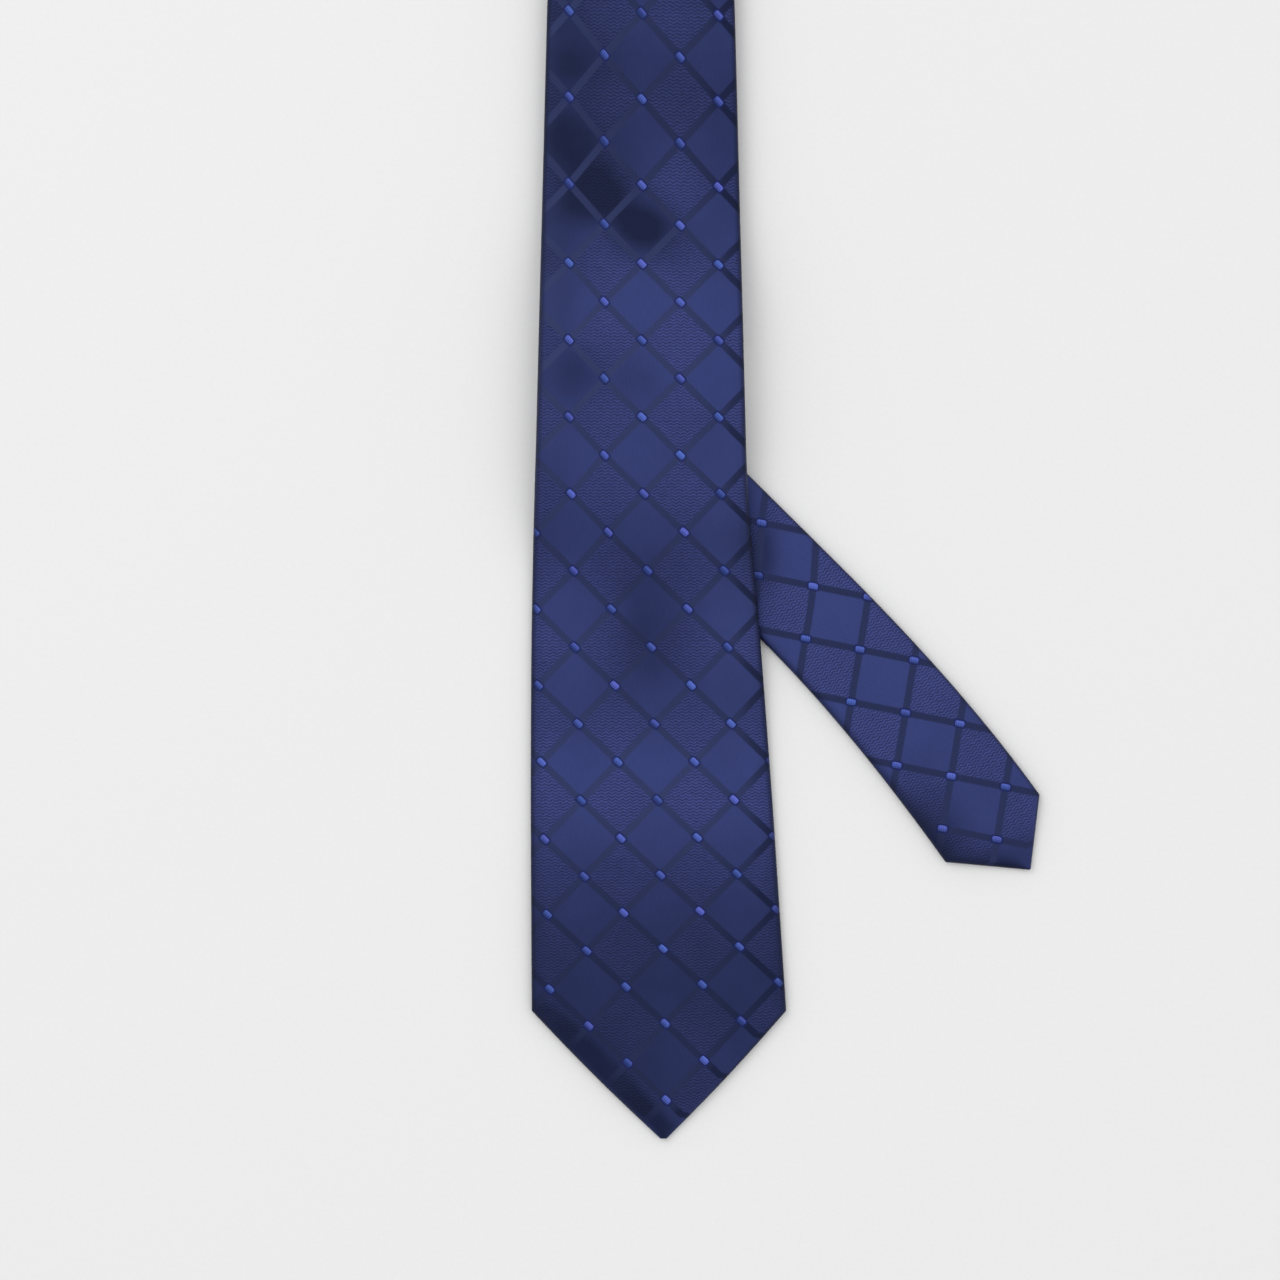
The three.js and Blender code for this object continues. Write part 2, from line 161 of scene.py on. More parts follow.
def tail_place(rest, aside):
    distance = TAIL_LENGTH - rest
    bent = np.clip(distance - TAIL_STRAIGHT, 0, TAIL_CURVED)
    turn = bent / TAIL_RADIUS
    heading = TAIL_HEADING + turn
    chord = 2 * TAIL_RADIUS * np.sin(turn / 2)
    before = np.minimum(distance - bent, TAIL_STRAIGHT)
    after = distance - bent - before
    middle = TAIL_HEADING + turn / 2
    aside = aside + TAIL_TIP_ASIDE * np.clip(1 - rest / TAIL_POINT, 0, 1)
    x = before * cos(TAIL_HEADING) + chord * np.cos(middle) + after * np.cos(heading)
    y = before * sin(TAIL_HEADING) + chord * np.sin(middle) + after * np.sin(heading)
    return NECK_X + x + aside * np.sin(heading), CREASE_Y - y + aside * np.cos(heading)


ALONG = np.array([-CREASE_AXIS.x, -CREASE_AXIS.y])  # along the crease, towards the wide tip
SIDE = np.array([-ALONG[1], ALONG[0]])  # across it, towards the lays
CREASE_SLOPE = ALONG[1] / ALONG[0]


def across_crease(x, y):
    """How far a point lies from the crease, on the side of the lays."""
    return (x - NECK_X) * SIDE[0] + (y - CREASE_Y) * SIDE[1]


def turned_at_crease(x, y):
    """The point where the cloth of the tail would lie if the crease were opened out flat."""
    off = across_crease(x, y)
    return x - 2 * off * SIDE[0], y - 2 * off * SIDE[1]


# ---------------- heights of the lays

GRID_STEP = (1.0, 2.0)  # across the tie and along it
GRID_X = np.arange(-66.0, 60.0, GRID_STEP[0])
GRID_Y = np.arange(-30.0, 800.0, GRID_STEP[1])
PLAN_X, PLAN_Y = np.meshgrid(GRID_X, GRID_Y)


def blurred(heights, across, lengthwise):
    """Heights on the grid, softened by so many millimetres across and along the tie."""
    for axis, size in ((1, across / GRID_STEP[0]), (0, lengthwise / GRID_STEP[1])):
        reach = int(3 * size) + 1
        kernel = np.exp(-0.5 * (np.arange(-reach, reach + 1) / size) ** 2)
        kernel /= kernel.sum()
        heights = np.apply_along_axis(
            lambda line: np.convolve(np.pad(line, reach, mode="edge"), kernel, "valid"), axis, heights)
    return heights


def at(heights, x, y):
    """The height at a place, between the points of the grid."""
    x, y = np.broadcast_arrays(x, y)
    i = np.clip((x - GRID_X[0]) / GRID_STEP[0], 0, len(GRID_X) - 1.001)
    j = np.clip((y - GRID_Y[0]) / GRID_STEP[1], 0, len(GRID_Y) - 1.001)
    i0, j0 = i.astype(int), j.astype(int)
    s, t = i - i0, j - j0
    low = heights[j0, i0] * (1 - s) + heights[j0, i0 + 1] * s
    high = heights[j0 + 1, i0] * (1 - s) + heights[j0 + 1, i0 + 1] * s
    return low * (1 - t) + high * t


def on_tail_end(x, y, room):
    """Where the tail end lies below, with some room around it."""
    heading = np.array([cos(TAIL_HEADING), -sin(TAIL_HEADING)])
    dx, dy = x - NECK_X, y - CREASE_Y
    aside = dx * -heading[1] + dy * heading[0]
    distance = dx * heading[0] + dy * heading[1]
    return (np.abs(aside) < NECK_HALF + room) & (distance > -60)


# the tail's upper lay: flat on the table, and over the tail end beside the crease
over_tail_end = on_tail_end(PLAN_X, PLAN_Y, 9) & (PLAN_Y > 150)
TAIL_BASE = blurred(np.where(over_tail_end, LAY + LAY_GAP, 0.0), 3, 7)

# the front half: over the tail, with room for the keeper loop, the label and the care tag on its back
stiff_left = NECK_X - PLAN_X < NECK_HALF + 20
stiff_right = PLAN_X - NECK_X < NECK_HALF + np.interp(PLAN_Y, [204, 222], [11, 29])
past_crease = across_crease(PLAN_X, PLAN_Y)
strip_top = np.where(stiff_left & stiff_right & (past_crease > -20), TAIL_BASE + LAY + LAY_GAP, 0.0)
end_top = np.where(on_tail_end(PLAN_X, PLAN_Y, 5) & (past_crease > -8), LAY + 0.2, 0.0)
near_label = stiff_left & stiff_right & (PLAN_Y > 192)
near_tag = (np.abs(PLAN_X - 18) < 26) & (PLAN_Y > 212)
label_top = np.where((near_label | near_tag) & (PLAN_Y < 276), LABEL_ROOM, 0.0)
FRONT_BASE = blurred(np.maximum.reduce([strip_top, end_top, label_top]), 6, 11)
# two slight swells, since the blade isn't pressed quite flat
FRONT_BASE += 0.8 * hump(PLAN_X, 6, 14) * hump(PLAN_Y, 144, 36)
FRONT_BASE += 0.5 * smooth(PLAN_Y, 120, 60) * hump(PLAN_Y, 78, 30) * smooth(PLAN_X, 30, -20)


def front_base(x, y):
    return at(FRONT_BASE, x, y)


def tail_base(x, y):
    return at(TAIL_BASE, x, y)


def end_base(x, y):
    return np.zeros(np.shape(x))


# ---------------- the woven pattern, on the flat cloth


def front_cloth(x, y):
    """Places on the cloth: across the diamonds, and along them from the first dot."""
    # the diamonds lean to the left with the blade, and are pulled a little out of square
    leaning = np.clip((y - 20) / 195, 1e-6, 1)
    across = x - (0.8 - 7.6 * leaning**1.3)
    across = across - 1.3 * smooth(-across, 6, 26) * smooth(y, 150, 200)
    slope = -0.033 * smooth(y, 140, 30) + 0.03 * smooth(y, 230, 330)
    pulled = 1.85 * smooth(y, 35, 105) - 0.8 * smooth(y, 270, 305)
    along = y + pulled + slope * across - FIRST_DOT
    drawn = np.clip(along - 12 * PERIOD, 0, 5 * LONG_PERIOD)
    return across, along - drawn * (1 - PERIOD / LONG_PERIOD)


TAIL_DOT = (47.3, 173.9)  # one of the tail's dots
TAIL_WAYS = ((17.4, -11.3), (16.7, -99.4))  # how far its two neighbours are, and at which angle


def tail_cloth(x, y):
    """The same for the tail, whose diamonds are turned with it."""
    steps = [far * np.exp(1j * radians(angle)) for far, angle in TAIL_WAYS]
    ways = np.linalg.inv([[step.real for step in steps], [step.imag for step in steps]])
    dx, dy = x - TAIL_DOT[0], y - TAIL_DOT[1]
    dx = dx + 2.4 * smooth(y, 166, 200)
    row = ways[0, 0] * dx + ways[0, 1] * dy
    column = ways[1, 0] * dx + ways[1, 1] * dy
    return PERIOD / 2 * (row - column), -PERIOD / 2 * (row + column)


def strip_cloth(x, y):
    return tail_cloth(*turned_at_crease(x, y))


def gusset_cloth(x, y):
    return x - NECK_X + 5, y


# ---------------- meshes


def triples(*parts):
    """Points from their three coordinates."""
    return np.stack(parts, axis=-1)


def added(name, data):
    """A new object in the scene."""
    thing = bpy.data.objects.new(name, data)
    bpy.context.scene.collection.objects.link(thing)
    return thing


def mesh_piece(name, points, faces, material, **attributes):
    """A smooth mesh from points in millimetres, with values for each point."""
    mesh = bpy.data.meshes.new(name)
    rows = (np.asarray(points, float).reshape(-1, 3) + np.array(TIP)) * MM
    mesh.from_pydata(rows.tolist(), [], [list(map(int, f)) for f in faces])
    for key, values in attributes.items():
        values = np.asarray(values, np.float32)
        kind = "FLOAT_VECTOR" if values.ndim == 2 else "FLOAT"
        layer = mesh.attributes.new(key, kind, "POINT")
        layer.data.foreach_set("vector" if values.ndim == 2 else "value", values.ravel())
    mesh.polygons.foreach_set("use_smooth", [True] * len(mesh.polygons))
    mesh.materials.append(material)
    mesh.validate()
    return added(name, mesh)


def grid_faces(rows, columns, flip=False):
    i, j = np.meshgrid(np.arange(rows - 1), np.arange(columns - 1), indexing="ij")
    a = (i * columns + j).ravel()
    quads = np.stack([a, a + 1, a + columns + 1, a + columns], axis=1)
    return quads[:, ::-1] if flip else quads


def thicken(piece, thickness, inward=True):
    """Gives a sheet its thickness, and leaves no modifier on it."""
    solid = piece.modifiers.new("thickness", "SOLIDIFY")
    solid.thickness = thickness * MM
    solid.offset = -1 if inward else 0
    solid.use_quality_normals = True
    evaluated = piece.evaluated_get(bpy.context.evaluated_depsgraph_get())
    mesh = bpy.data.meshes.new_from_object(evaluated)
    piece.modifiers.clear()
    piece.data = mesh
    mesh.name = piece.name
    mesh.set_sharp_from_angle(angle=radians(50))
    return piece


def place(piece, body, node, slot):
    """Puts a piece on its body, in the place of a node. A piece without a body is left on none."""
    if body:
        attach(piece, body)
    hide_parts(node)
    return piece


def blend_at_fold(piece, upper, lower, reach):
    """Bakes the piece's place into its mesh; it is not shared out between the two bodies."""
    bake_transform(piece)


# ---------------- a lay, cut across

# for each column of points: its stretch of the cloth, its place along the stretch, and its side
HEM, FLAP, ROLL, FACE = range(4)
HALF_KINDS = [HEM] * 3 + [FLAP] * 9 + [ROLL] * 9 + [FACE] * 13
HALF_STEPS = np.concatenate([
    np.linspace(0, 1, 3), np.linspace(0, 1, 10)[:-1], np.linspace(0, 1, 11)[1:-1], np.linspace(1, 0, 13)])
KINDS = np.array(HALF_KINDS + HALF_KINDS[-2::-1])
STEPS = np.concatenate([HALF_STEPS, HALF_STEPS[-2::-1]])
SIGNS = np.concatenate([np.ones(len(HALF_KINDS)), -np.ones(len(HALF_KINDS) - 1)])
BELOW = [KINDS == kind for kind in (HEM, FLAP, ROLL)]  # all that isn't the face


def section(half, opening, lift, thick, slanted):
    """Places across the lay, heights above its back, and places on the flat cloth, for each column."""
    edge = np.minimum(EDGE * (1 + (sqrt(2) - 1) * slanted), 0.8 * half)
    flat = half - edge
    free = np.minimum(opening, flat - 0.2)
    crown = 1 - CROWN * (np.abs(STEPS) ** 3)
    turn = pi * (1 - STEPS)
    arc = pi * np.sqrt((edge**2 + (thick / 2) ** 2) / 2)
    rise = (1 - CROWN) * thick
    hem_end = np.minimum(free + HEM_WIDE, flat)
    across = np.select(
        BELOW,
        [np.where(STEPS == 0, hem_end, free - 0.15 * np.sin(pi * STEPS)),
         free + (flat - free) * STEPS,
         flat + edge * np.sin(turn)],
        flat * STEPS)
    lifted = lift * smooth(np.abs(across), 7, 3)
    height = np.select(
        BELOW,
        [0.58 - 0.5 * STEPS**3 + lifted, lifted, rise / 2 * (1 - np.cos(pi * STEPS))],
        thick * crown)
    beyond = np.select(
        BELOW, [arc + flat - free + HEM_WIDE * (1 - STEPS), arc + flat - across, arc * (1 - STEPS)], 0.0)
    return across, height, beyond, flat, arc


def lay(name, stations, cloth, opening_of, plan, half_of, base, outer=1, face_up=True,
        seam=None, seam_from=None, fold_skew=None, point=0.0, thick_of=None):
    """The cloth tube of one panel, as a grid of stations by columns, with its places on the flat cloth.

    From seam_from on its sections lean more and more, to meet the bias seam.
    """
    s = stations[:, None] * np.ones(len(KINDS))
    seam_slope = 0 * s if seam is None else smooth(s, seam_from, seam)
    fold_slope = 0 * s if fold_skew is None else fold_skew(s)
    along = s.copy()
    # a leaning section changes its own width, so the two are worked out in turns
    for _ in range(6):
        half = half_of(along)
        slanted = smooth(along, point + 2, point - 2) if point else 0 * along
        opening = opening_of(along, SIGNS == outer)
        lift = np.where(SIGNS == outer, 0, CLOTH + 0.05)
        thick = LAY if thick_of is None else thick_of(along)
        across, height, beyond, flat, arc = section(half, opening, lift, thick, slanted)
        flat_across = np.where(beyond > 0, flat + beyond, across)
        along = s + seam_slope * SIGNS * flat_across + fold_slope * SIGNS * across
    if seam is not None:
        dip = 0.3 * np.exp(-(((s - seam) / 1.1) ** 2))
        height = height + dip * (1 - 2 * height / LAY)
        across = across - dip * (across / half) ** 8
    x, y = plan(along, SIGNS * across)
    z = base(x, y) + (height if face_up else LAY - height)
    # the cloth over a slanting edge of a point is turned over that edge, not over the side
    straight = plan(along, SIGNS * flat_across)
    spare = (arc - EDGE) / sqrt(2)
    folded_a, folded_l = along + spare, across - spare
    upper = [KINDS == ROLL, KINDS == FACE]
    point_a = np.select(upper, [flat + (folded_a - flat) * (1 - STEPS), across], folded_a)
    point_l = np.select(upper, [along + (folded_l - along) * (1 - STEPS), along], folded_l)
    slant = plan(point_l, SIGNS * point_a)
    in_point = (along < point) & (point > 0)
    u, v = cloth(np.where(in_point, slant[0], straight[0]), np.where(in_point, slant[1], straight[1]))
    return {
        "name": name, "points": triples(x, y, z), "cloth": triples(u, v, 0 * u),
        "side": SIGNS * across / half, "height": height, "face_up": face_up}


# spots of painted shade on the satin, and of painted sheen where the last value is below zero: x, y, half
# width, half length, how much
PAINTED_SHADE_SPOTS = [
    (-32, 354, 10, 9, 0.35), (-30, 338, 11, 10, 0.4), (-29, 314, 10, 10, 0.55), (-20, 297, 9, 8, 0.75),
    (-27, 294, 7, 7, 0.25), (-6, 286, 10, 8, 0.85), (-35, 272, 9, 30, 0.4), (-28, 240, 11, 10, 0.5),
    (-8, 239, 9, 8, 0.25), (-35, 208, 8, 16, 0.2), (31, 188, 7, 10, 0.4),
    (-3, 163, 14, 9, 0.1), (3, 148, 11, 7, 0.08), (-18, 20, 18, 14, 0.2), (5, 300, 8, 12, -0.25),
    (5, 276, 8, 8, 0.1)]


def shade_of(points, side):
    """Painted sheen and painted shade for the satin and for the bands: lighter and darker stretches along
    the pressed cloth, painted into the colour.
    """
    x, y = points[:, :, 0], points[:, :, 1]
    sheen_and_shade = 0.42 + 0.5 * hump(y, 112, 26) + 0.5 * hump(y, 250, 42) + 0.2 * hump(y, 204, 16)
    sheen_and_shade = sheen_and_shade + 0.15 * hump(y, 352, 12) + 0.3 * smooth(y, 380, 460) - 0.1 * hump(y, 50, 20)
    sheen_and_shade = sheen_and_shade + 0.4 * hump(y, 161, 22) * (1 - hump(x, -5, 14))
    # the bands' painted sheen, with painted shade towards the right edge
    bands = 0.35 + 1.1 * (sheen_and_shade - 0.42) - 0.25 * smooth(side, 0.35, 0.95)
    bands = bands + 0.2 * smooth(side, 0.2, -0.8) * smooth(y, 270, 300)
    half = blade_half(y)
    bands = bands - 0.35 * smooth((1 - side) * half, 9, 3)
    # painted shade along the slanting edge of the point
    near_slant = smooth((1 + side) * half, 14, 3) * smooth(y, 47, 37)
    sheen_and_shade = sheen_and_shade - 0.6 * near_slant
    bands = bands - 0.3 * near_slant
    for across, along, wide, long, deep in PAINTED_SHADE_SPOTS:
        sheen_and_shade = sheen_and_shade - deep * hump(x, across, wide) * hump(y, along, long)
    return np.clip(sheen_and_shade, 0, 1), np.clip(bands, 0, 1)


def shell_piece(made, body, node, shade=0.7, side_shade=0.0,
                face_sheen_painted=False):
    """Turns a lay into a piece of silk that rides on its body."""
    points = made["points"]
    rows, columns = points.shape[:2]
    shade = shade + 0 * points[:, :, 0]
    bands = PLAIN_BANDS + 0 * shade
    if face_sheen_painted:
        # painted sheen and painted shade lie on the face, and fade out round the edges
        on_face = np.select([KINDS == FACE, KINDS == ROLL], [1.0, STEPS], 0.0)
        face_shade, face_bands = shade_of(points, made["side"])
        shade = shade + (face_shade - shade) * on_face
        bands = bands + (face_bands - bands) * on_face
    # painted shade along the rolled edges, and along a side where one is given
    edge = smooth(np.abs(made["side"]), 0.93, 1.0) * (KINDS != FLAP)
    edge = np.maximum(edge, side_shade * (KINDS != FLAP))
    piece = mesh_piece(
        made["name"], points, grid_faces(rows, columns, True), SILK,
        cloth=made["cloth"].reshape(-1, 3) * MM, shade=shade.ravel(), bands=bands.ravel(),
        rolled=edge.ravel())
    thicken(piece, CLOTH)
    place(piece, body, node, "silk")
    return piece


def folded_section(name, made, centre, arm, radius_of, cloth_step):
    """The cloth where a lay turns back on itself: its last section, swung half a turn round the fold."""
    start = made["points"][-1]
    radius = radius_of(made["height"][-1])
    turns = np.linspace(pi / 2, -pi / 2, 13)[:, None]
    off = (start[:, 0] - centre[0]) * arm[0] + (start[:, 1] - centre[1]) * arm[1]
    x = start[:, 0] + (radius * np.cos(turns) - off) * arm[0]
    y = start[:, 1] + (radius * np.cos(turns) - off) * arm[1]
    z = FOLD_Z + radius * np.sin(turns)
    cloth = made["cloth"][-1] + cloth_step * (pi / 2 - turns)[:, :, None]
    side = made["side"][-1] + 0 * turns
    return {"name": name, "points": triples(x, y, z), "cloth": cloth, "side": side}


# ---------------- materials


class Field:
    """A value in a material that its nodes work out, with the usual signs for sums."""

    def __init__(self, nodes, socket):
        self.nodes = nodes
        self.socket = socket

    def __add__(self, other):
        return self.nodes.math("ADD", self, other)

    def __sub__(self, other):
        return self.nodes.math("SUBTRACT", self, other)

    def __rsub__(self, other):
        return self.nodes.math("SUBTRACT", other, self)

    def __mul__(self, other):
        return self.nodes.math("MULTIPLY", self, other)

    def __truediv__(self, other):
        return self.nodes.math("DIVIDE", self, other)


class Nodes:
    """A short way to write a material's nodes."""

    def __init__(self, name):
        self.material = bpy.data.materials.new(name)
        self.material.use_nodes = True
        self.tree = self.material.node_tree
        self.shader = self.tree.nodes["Principled BSDF"]

    def add(self, kind, inputs, output=0, **settings):
        node = self.tree.nodes.new(kind)
        for key, value in settings.items():
            setattr(node, key, value)
        for key, value in inputs.items():
            self.feed(node.inputs[key], value)
        return Field(self, node.outputs[output])

    def feed(self, socket, value):
        if isinstance(value, Field):
            self.tree.links.new(value.socket, socket)
        else:
            socket.default_value = value

    def math(self, operation, first, second=0.0):
        return self.add("ShaderNodeMath", {0: first, 1: second}, operation=operation)

    def wave(self, value, pitch):
        return self.math("SINE", value * (TAU / pitch))

    def step(self, value, low, high, start=0.0, end=1.0):
        """A smooth step from start to end while value goes from low to high."""
        inputs = {"Value": value, "From Min": low, "From Max": high, "To Min": start, "To Max": end}
        return self.add("ShaderNodeMapRange", inputs, interpolation_type="SMOOTHSTEP")

    def mix(self, share, first, second):
        """Between two colours."""
        return self.add("ShaderNodeMix", {0: share, 6: first, 7: second}, 2, data_type="RGBA")

    def stored(self, name, output="Fac"):
        """A value that the mesh holds at its points."""
        return self.add("ShaderNodeAttribute", {}, output, attribute_name=name)

    def in_mm(self, place):
        return self.add("ShaderNodeVectorMath", {0: place, "Scale": 1 / MM}, operation="SCALE")

    def split(self, vector):
        first = self.add("ShaderNodeSeparateXYZ", {0: vector})
        return [Field(self, socket) for socket in first.socket.node.outputs]

    def join(self, x, y):
        return self.add("ShaderNodeCombineXYZ", {0: x, 1: y})

    def noise(self, place, scale, detail=2.0, rough=0.5):
        inputs = {"Vector": place, "Scale": scale, "Detail": detail, "Roughness": rough}
        return self.add("ShaderNodeTexNoise", inputs, "Fac")

    def bump(self, height, distance, strength, under=None):
        inputs = {"Height": height, "Distance": distance * MM, "Strength": strength}
        if under is not None:
            inputs["Normal"] = under
        return self.add("ShaderNodeBump", inputs)

    def surface(self, **sockets):
        for key, value in sockets.items():
            self.feed(self.shader.inputs[key.replace("_", " ")], value)
        return self.material


def rgb(red, green, blue):
    """A linear colour from the usual 0 to 255 values."""

    def linear(v):
        v = v / 255
        return v / 12.92 if v <= 0.04045 else ((v + 0.055) / 1.055) ** 2.4

    return linear(red), linear(green), linear(blue), 1.0


TAU = 2 * pi
BAND_HALF = 1.08  # half the width of a band
BAND_SOFT = 0.32  # how soft its sides are
DOT_HALF = (0.95, 1.4)  # half a dot, measured across the two sets of bands
FRINGE_WIDE = 0.55  # of the dark fringe round a dot
HERRING_PITCH = 0.98
HERRING_REACH = 1.1  # how far a row of the herringbone goes to one side
RIB_PITCH = 0.7
SATIN_PITCH = 0.66
THREAD_TWIST = 0.55
PLAIN_BANDS = 0.47  # the bands' painted sheen where no lighter and darker stretches are painted
SATIN_SHADED_AND_LIT = (rgb(11, 17, 45), rgb(52, 61, 115))  # the colours where painted shade is darkest and painted sheen lightest, here and in the next two lines
RIBBED_SHADED_AND_LIT = (rgb(11, 16, 42), rgb(53, 60, 112))
STRIPE_SHADED_AND_LIT = (rgb(12, 18, 46), rgb(47, 55, 95))
FRINGE = rgb(14, 22, 78)
# the dots go from their painted shade to their painted highlight
DOT_DARK = rgb(34, 50, 108)
DOT_LIGHT = (rgb(82, 108, 196), rgb(98, 106, 206))  # more cyan, more violet
WHITE = (1.0, 1.0, 1.0, 1.0)


def silk():
    """Jacquard silk with a windowpane of bands and dots, by the place on the flat cloth, with painted
    sheen and shade from values the mesh holds.
    """
    n = Nodes("jacquard_silk")
    flat = n.in_mm(n.stored("cloth", "Vector"))
    across, along, _ = n.split(flat)
    # two sets of bands cross at 45 degrees: warp and weft, counted from band to band
    counts = ((along + across) / PERIOD, (along - across) / PERIOD)
    side = PERIOD / sqrt(2)
    wobble = n.noise(flat, 0.35, 1.0) * 0.012 - 0.006
    nearest = [n.math("ROUND", count) for count in counts]
    aside = [(count + wobble - whole) * side for count, whole in zip(counts, nearest)]
    off = [n.math("ABSOLUTE", part) for part in aside]
    bands = [n.step(part, BAND_HALF - BAND_SOFT, BAND_HALF + BAND_SOFT, 1.0, 0.0) for part in off]
    band = n.math("MAXIMUM", *bands)

    def oblong(wider, soft):
        """The dots on the crossings, as rounded oblongs."""
        near = [n.math("POWER", part / (half + wider), 4.0) for part, half in zip(off, DOT_HALF)]
        return n.step(near[0] + near[1], 1 - soft, 1 + soft, 1.0, 0.0)

    dot = oblong(0.0, 0.5)
    fringe = oblong(FRINGE_WIDE, 0.6) - dot
    # every other row of diamonds is woven in a herringbone
    cells = n.math("FLOOR", counts[0]) + n.math("FLOOR", counts[1])
    herring_cell = n.math("PINGPONG", cells, 1.0) * (1.0 - band)
    satin_cell = 1.0 - n.math("MAXIMUM", herring_cell, band)

    # threads: wavy rows in the herringbone, ribs across the bands, and fine lines in the satin
    zig = n.math("PINGPONG", across, HERRING_REACH) * 0.55 + along + n.noise(flat, 1.1) * 0.8
    herring = n.wave(zig, HERRING_PITCH)
    ribs = n.wave(counts[1] * side, RIB_PITCH) * bands[0] + n.wave(counts[0] * side, RIB_PITCH) * bands[1]
    fine = n.wave(counts[0] * side, SATIN_PITCH)
    slub = n.noise(n.join(across * 3.0, along * 0.3), 1.0)
    relief = herring * herring_cell + ribs * 0.4 + fine * satin_cell * 0.25

    # the painted sheen and shade that the mesh holds, with some tone at random
    shade = n.stored("shade") + (n.noise(flat, 0.06) * 0.3 - 0.15)
    colour = n.mix(herring_cell, n.mix(shade, *SATIN_SHADED_AND_LIT), n.mix(shade, *RIBBED_SHADED_AND_LIT))
    # the bands in their painted sheen and shade, one set a little darker than the other
    band_shade = n.stored("bands") + (bands[1] - bands[0]) * 0.06
    colour = n.mix(band, colour, n.mix(band_shade, *STRIPE_SHADED_AND_LIT))
    colour = n.mix(fringe * 0.75, colour, FRINGE)
    # each dot has its own tone; painted shade darkens it with the cloth, and a painted highlight lightens
    # one side of it
    crossing = n.join(*nearest)
    tone = n.add("ShaderNodeTexWhiteNoise", {"Vector": crossing}, "Value", noise_dimensions="2D")
    dot_light = n.mix(n.step(n.noise(crossing, 0.7, 1.0), 0.35, 0.65), *DOT_LIGHT)
    colour = n.mix(dot, colour, n.mix(tone * 0.55 + shade * 0.22 + aside[0] * 0.42, DOT_DARK, dot_light))
    # thread by thread the cloth is a little lighter and darker, and painted shade darkens it where it
    # rolls over its edges
    value = relief * (n.noise(flat, 0.5) * 0.5 + 0.2) + 1.0 + (slub * 0.3 - 0.15)
    value = value * (1.0 - n.stored("rolled") * 0.72)

    normal = n.bump(relief * 0.6 + fine * 0.15 + slub * 0.5, 0.035, 0.55)
    return n.surface(
        Base_Color=n.add("ShaderNodeHueSaturation", {"Color": colour, "Value": value}),
        Roughness=herring_cell * 0.08 + band * 0.08 + slub * 0.12 + 0.34,
        Normal=n.bump(dot * 1.3 - band * 0.6, 0.09, 0.6, normal),
        Specular_IOR_Level=0.3, Specular_Tint=(0.4, 0.5, 1.0, 1.0), Sheen_Weight=0.03, Sheen_Roughness=0.4)


def woven(name, dark, bright, pitch, roughness, specular, depth=0.03, fuzz=0.0, relief=0.12, tint=WHITE):
    """Plain cloth: crossing threads with light and dark slubs, by place in the row frame."""
    n = Nodes(name)
    flat = n.in_mm(n.add("ShaderNodeTexCoord", {}, "Object"))
    x, y, _ = n.split(flat)
    crossed = n.wave(x + y, pitch) * n.wave(x - y, pitch)
    slub = n.noise(flat, 1.4 / pitch, 3.0, 0.6)
    share = slub * 0.6 + n.noise(flat, 0.12) * 0.4 + crossed * relief
    return n.surface(
        Base_Color=n.mix(share, dark, bright), Roughness=slub * 0.16 + (roughness - 0.08),
        Normal=n.bump(crossed + slub * (1.5 + fuzz), depth, 0.7),
        Specular_IOR_Level=specular, Specular_Tint=tint, Sheen_Weight=0.02 + 0.14 * fuzz)


def thread_silk():
    """Twisted thread, by the place along the thread and round it."""
    n = Nodes("twisted_thread")
    far, turn, _ = n.split(n.stored("strand", "Vector"))
    ply = n.math("SINE", far * (TAU / THREAD_TWIST) + turn * 2.0)
    share = ply * 0.5 + 0.5
    return n.surface(
        Base_Color=n.mix(share, rgb(18, 22, 42), rgb(52, 60, 104)), Roughness=share * -0.12 + 0.58,
        Normal=n.bump(ply, 0.03, 0.8), Specular_IOR_Level=0.35, Sheen_Weight=0.1)


SILK = silk()
LINING = woven("satin_lining", rgb(10, 14, 38), rgb(42, 48, 96), 0.8, 0.4, 0.4, relief=0.3,
               tint=(0.45, 0.55, 1.0, 1.0))
WOOL = woven("brushed_wool", rgb(196, 190, 176), rgb(228, 222, 208), 1.3, 0.9, 0.15, 0.2, 2.0)
THREAD = thread_silk()

# ---------------- the cloth tubes


def mouth(along, outer, half, start, opening, closing, tack_place):
    """Half the gap between the back flaps: the V over the tipping, and a lap above the bar tack."""
    lower = half * np.clip((along - start) / opening, 0, 1)
    upper = half * np.clip((tack_place - along) / closing, 0, 1)
    lap = np.where(outer, 0, UNDER) * smooth(along, tack_place, tack_place + 6)
    return np.minimum(lower, upper) - lap


def blade_opening(along, outer):
    return mouth(along, outer, 26, 15, 27, 48, FRONT_TACK)


def end_opening(along, outer):
    return mouth(along, outer, 11, 8, 10, 28, TAIL_TACK)


def closed_opening(along, outer):
    return np.where(outer, 0, -UNDER) + 0 * along


def spread(*stretches):
    """Stations from the first place on: (where a stretch ends, the step along it), one after the other."""
    places = [stretches[0]]
    for end, step in stretches[1:]:
        start = places[-1]
        count = max(1, round(abs(end - start) / step))
        places += [start + (end - start) * (i + 1) / count for i in range(count)]
    return np.array(places)


def tip_thick(along):
    """A lay grows thinner over the last bit of its point."""
    return LAY * (0.68 + 0.32 * smooth(along, 0, 16))


def strip_slope(s):
    """How the sections lean, on the way to the slanting crease."""
    return CREASE_SLOPE * smooth(s, CREASE_Y + 120, CREASE_Y)


def end_slope(s):
    return -CREASE_SLOPE * smooth(s, TAIL_LENGTH - 100, TAIL_LENGTH)


# what the pieces of each lay share
IN_FRONT = {"plan": blade_place, "half_of": blade_half, "base": front_base, "point": SHOULDER}
IN_STRIP = {"plan": strip_place, "half_of": strip_half, "base": tail_base, "fold_skew": strip_slope,
            "face_up": False}
IN_END = {"plan": tail_place, "half_of": tail_half, "base": end_base, "fold_skew": end_slope,
          "point": TAIL_POINT}

